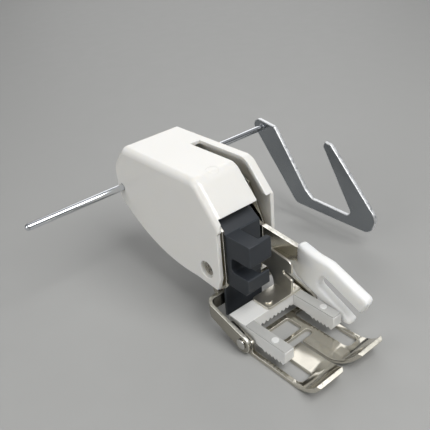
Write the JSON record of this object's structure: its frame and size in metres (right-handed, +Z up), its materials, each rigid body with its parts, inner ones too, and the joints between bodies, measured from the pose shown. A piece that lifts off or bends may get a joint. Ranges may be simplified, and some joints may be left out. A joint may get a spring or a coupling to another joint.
{
  "type": "walking presser foot",
  "caption": "Walking presser foot for a sewing machine: split sole, toothed feed dog driven by a fork lever in a moulded housing, clamp block for the presser bar and a sliding quilting guide.",
  "frame": {"origin": "the needle's drop point on the underside of the sole", "axes": "+X to the right of the person sewing, +Y to the back (the toes point to -Y), +Z up along the needle"},
  "size_m": [0.0993, 0.0901, 0.0466],
  "materials": {
    "housing_white": "satin warm white moulding",
    "milky_nylon": "milky translucent nylon",
    "dog_nylon": "white nylon",
    "nickel_plate": "nickel plate on sheet steel",
    "polished_nickel": "polished nickel plate",
    "dark_block": "dark blue-grey finish on a die casting",
    "pin_steel": "ground steel",
    "screw_steel": "plated screw steel",
    "strip_steel": "grey strip steel",
    "spring_steel": "spring steel",
    "guide_steel": "bright plated steel"
  },
  "bodies": {
    "frame": {"housing": "housing_white", "housing_screw_left": "screw_steel", "housing_screw_right": "screw_steel", "mounting_block": "dark_block", "block_screws": "screw_steel", "frame_plate_left": "nickel_plate", "frame_plate_right": "nickel_plate", "frame_spacer": "pin_steel", "yoke": "nickel_plate", "yoke_rivets": "pin_steel", "sole_pin_left": "pin_steel", "sole_pin_right": "pin_steel", "lever_pin": "pin_steel", "lever_clip": "spring_steel", "rocker_pin": "pin_steel", "rocker_clip": "spring_steel", "guide_spring": "spring_steel", "guide_spring_screw": "screw_steel"},
    "lever": {"fork_lever": "milky_nylon", "lever_arm": "nickel_plate", "crank_pin": "pin_steel", "lever_spring": "spring_steel"},
    "link": {"drive_link": "nickel_plate"},
    "rocker": {"feed_rocker": "nickel_plate", "link_pin": "pin_steel", "carrier_pin": "pin_steel", "feed_spring": "spring_steel"},
    "carrier": {"feed_bracket": "nickel_plate", "bracket_rivets": "pin_steel", "feed_dog": "dog_nylon", "feed_strip_left": "strip_steel", "feed_strip_right": "strip_steel"},
    "sole": {"presser_sole": "polished_nickel"},
    "guide": {"guide_rod": "guide_steel", "guide_blade": "guide_steel"}
  },
  "joints": [
    {"name": "lever_lift", "type": "hinge", "parent": "frame", "child": "lever", "pos_m": [0.0065, 0.043, 0.036], "axis": [-1, 0, 0], "range_deg": [0, 36], "stiffness_Nm_per_rad": 0.004, "springref_deg": -28.65},
    {"name": "link_turn", "type": "hinge", "parent": "lever", "child": "link", "pos_m": [0.00415, 0.0439, 0.03324], "axis": [-1, 0, 0], "range_deg": [-37.5, 0.5]},
    {"name": "rocker_swing", "type": "hinge", "parent": "frame", "child": "rocker", "pos_m": [0.0028, 0.031, 0.0263], "axis": [1, 0, 0], "range_deg": [-0.3, 15.8]},
    {"name": "carrier_swing", "type": "hinge", "parent": "rocker", "child": "carrier", "pos_m": [0.0076, 0.0296, 0.01569], "axis": [1, 0, 0], "range_deg": [-11.1, 0.3]},
    {"name": "sole_rock", "type": "hinge", "parent": "frame", "child": "sole", "pos_m": [0, 0.0086, 0.0036], "axis": [-1, 0, 0], "range_deg": [-8, 5]},
    {"name": "guide_slide", "type": "slide", "parent": "frame", "child": "guide", "axis": [1, 0, 0], "range_m": [-0.03, 0.028]}
  ],
  "couplings": [
    {"joint": "link_turn", "follows": "lever_lift", "ratio": -1},
    {"joint": "rocker_swing", "follows": "lever_lift", "ratio": 0.42},
    {"joint": "carrier_swing", "follows": "lever_lift", "ratio": -0.294}
  ]
}
